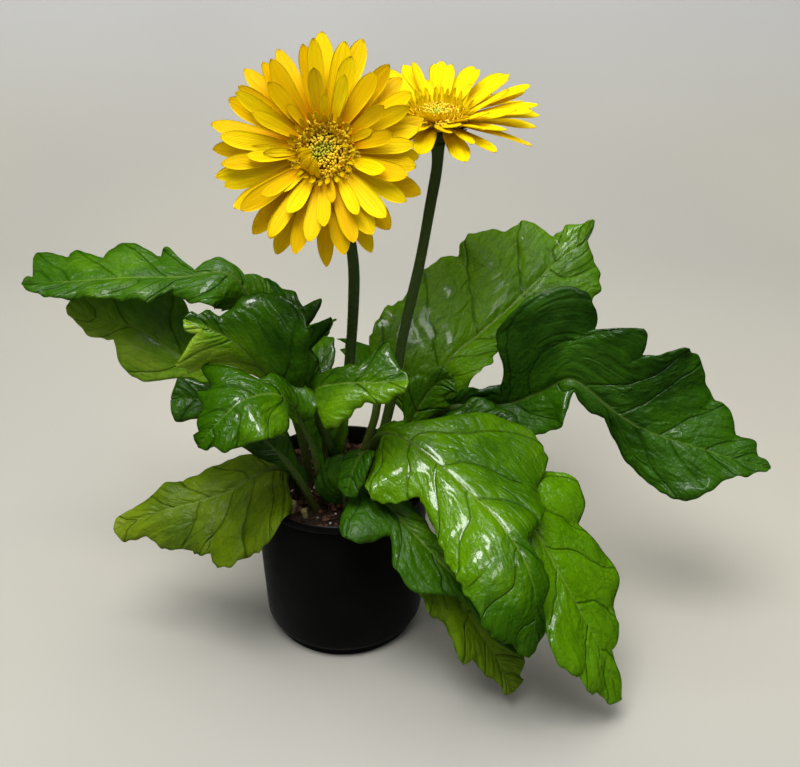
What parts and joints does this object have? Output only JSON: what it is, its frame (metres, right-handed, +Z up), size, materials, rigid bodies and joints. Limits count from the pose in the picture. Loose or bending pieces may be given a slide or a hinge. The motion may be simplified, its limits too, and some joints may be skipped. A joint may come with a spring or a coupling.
{
  "type": "potted gerbera",
  "caption": "Flowering houseplant in a round nursery pot: a rosette of wavy lobed leaves and daisy-like blooms on tall bare stalks.",
  "frame": {"origin": "centre of the pot's foot, on the surface it stands on", "axes": "+Z up along the pot's axis, +X to the right along the plant's longest spread, -Y towards the front, where the near bloom looks"},
  "size_m": [0.4377, 0.287, 0.3728],
  "materials": {
    "pot": "matt black with a satin lip",
    "soil": "rough, damp",
    "leaf": "glossy upper side",
    "stalk": "matt, finely hairy",
    "rays": "silky",
    "disc": "matt, soft"
  },
  "bodies": {
    "root": {"pot": "pot", "soil": "soil", "leaf_01": "leaf", "leaf_02": "leaf", "leaf_03": "leaf", "leaf_04": "leaf", "leaf_05": "leaf", "leaf_06": "leaf", "leaf_07": "leaf", "leaf_08": "leaf", "leaf_09": "leaf", "leaf_10": "leaf", "leaf_11": "leaf", "leaf_12": "leaf", "leaf_13": "leaf", "leaf_14": "leaf", "leaf_15": "leaf", "leaf_16": "leaf", "leaf_17": "leaf", "leaf_18": "leaf", "leaf_19": "leaf", "stalk_1": "stalk", "rays_1": "rays", "disc_1": "disc", "stalk_2": "stalk", "rays_2": "rays", "disc_2": "disc"}
  },
  "joints": []
}
